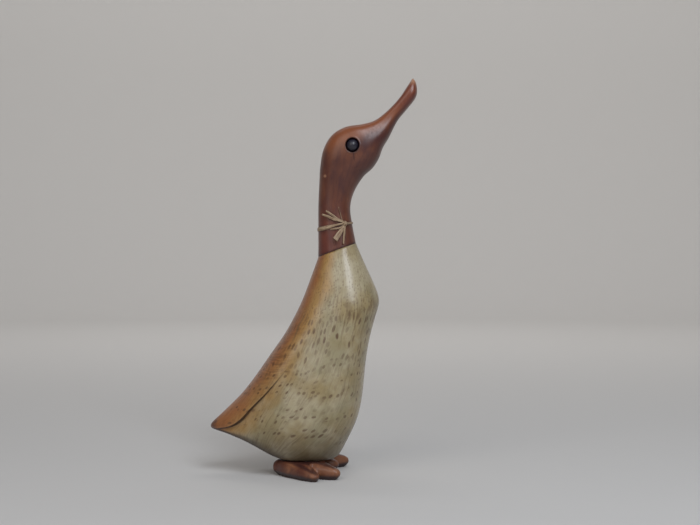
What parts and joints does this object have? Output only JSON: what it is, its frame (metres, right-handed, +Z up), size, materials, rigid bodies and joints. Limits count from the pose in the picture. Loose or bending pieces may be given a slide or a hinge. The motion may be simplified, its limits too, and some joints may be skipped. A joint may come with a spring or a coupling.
{
  "type": "wooden duck figurine",
  "caption": "Hand-carved wooden duck standing upright with raised bill: pale bamboo-root body, red-brown head and feet, glossy bead eyes and a raffia strand tied round the neck.",
  "frame": {"origin": "on the ground under the middle of the duck from tail tip to bill tip", "axes": "+X the way the duck faces, +Y to its left, +Z up"},
  "size_m": [0.1575, 0.0795, 0.3],
  "materials": {
    "bamboo_root": "clear gloss lacquer",
    "stained_wood": "clear gloss lacquer",
    "bead": "gloss",
    "raffia": "natural, dry"
  },
  "bodies": {
    "root": {"body": "bamboo_root", "head": "stained_wood", "eye_left": "bead", "eye_right": "bead", "foot_left": "stained_wood", "foot_right": "stained_wood", "raffia_tie": "raffia"}
  },
  "joints": []
}
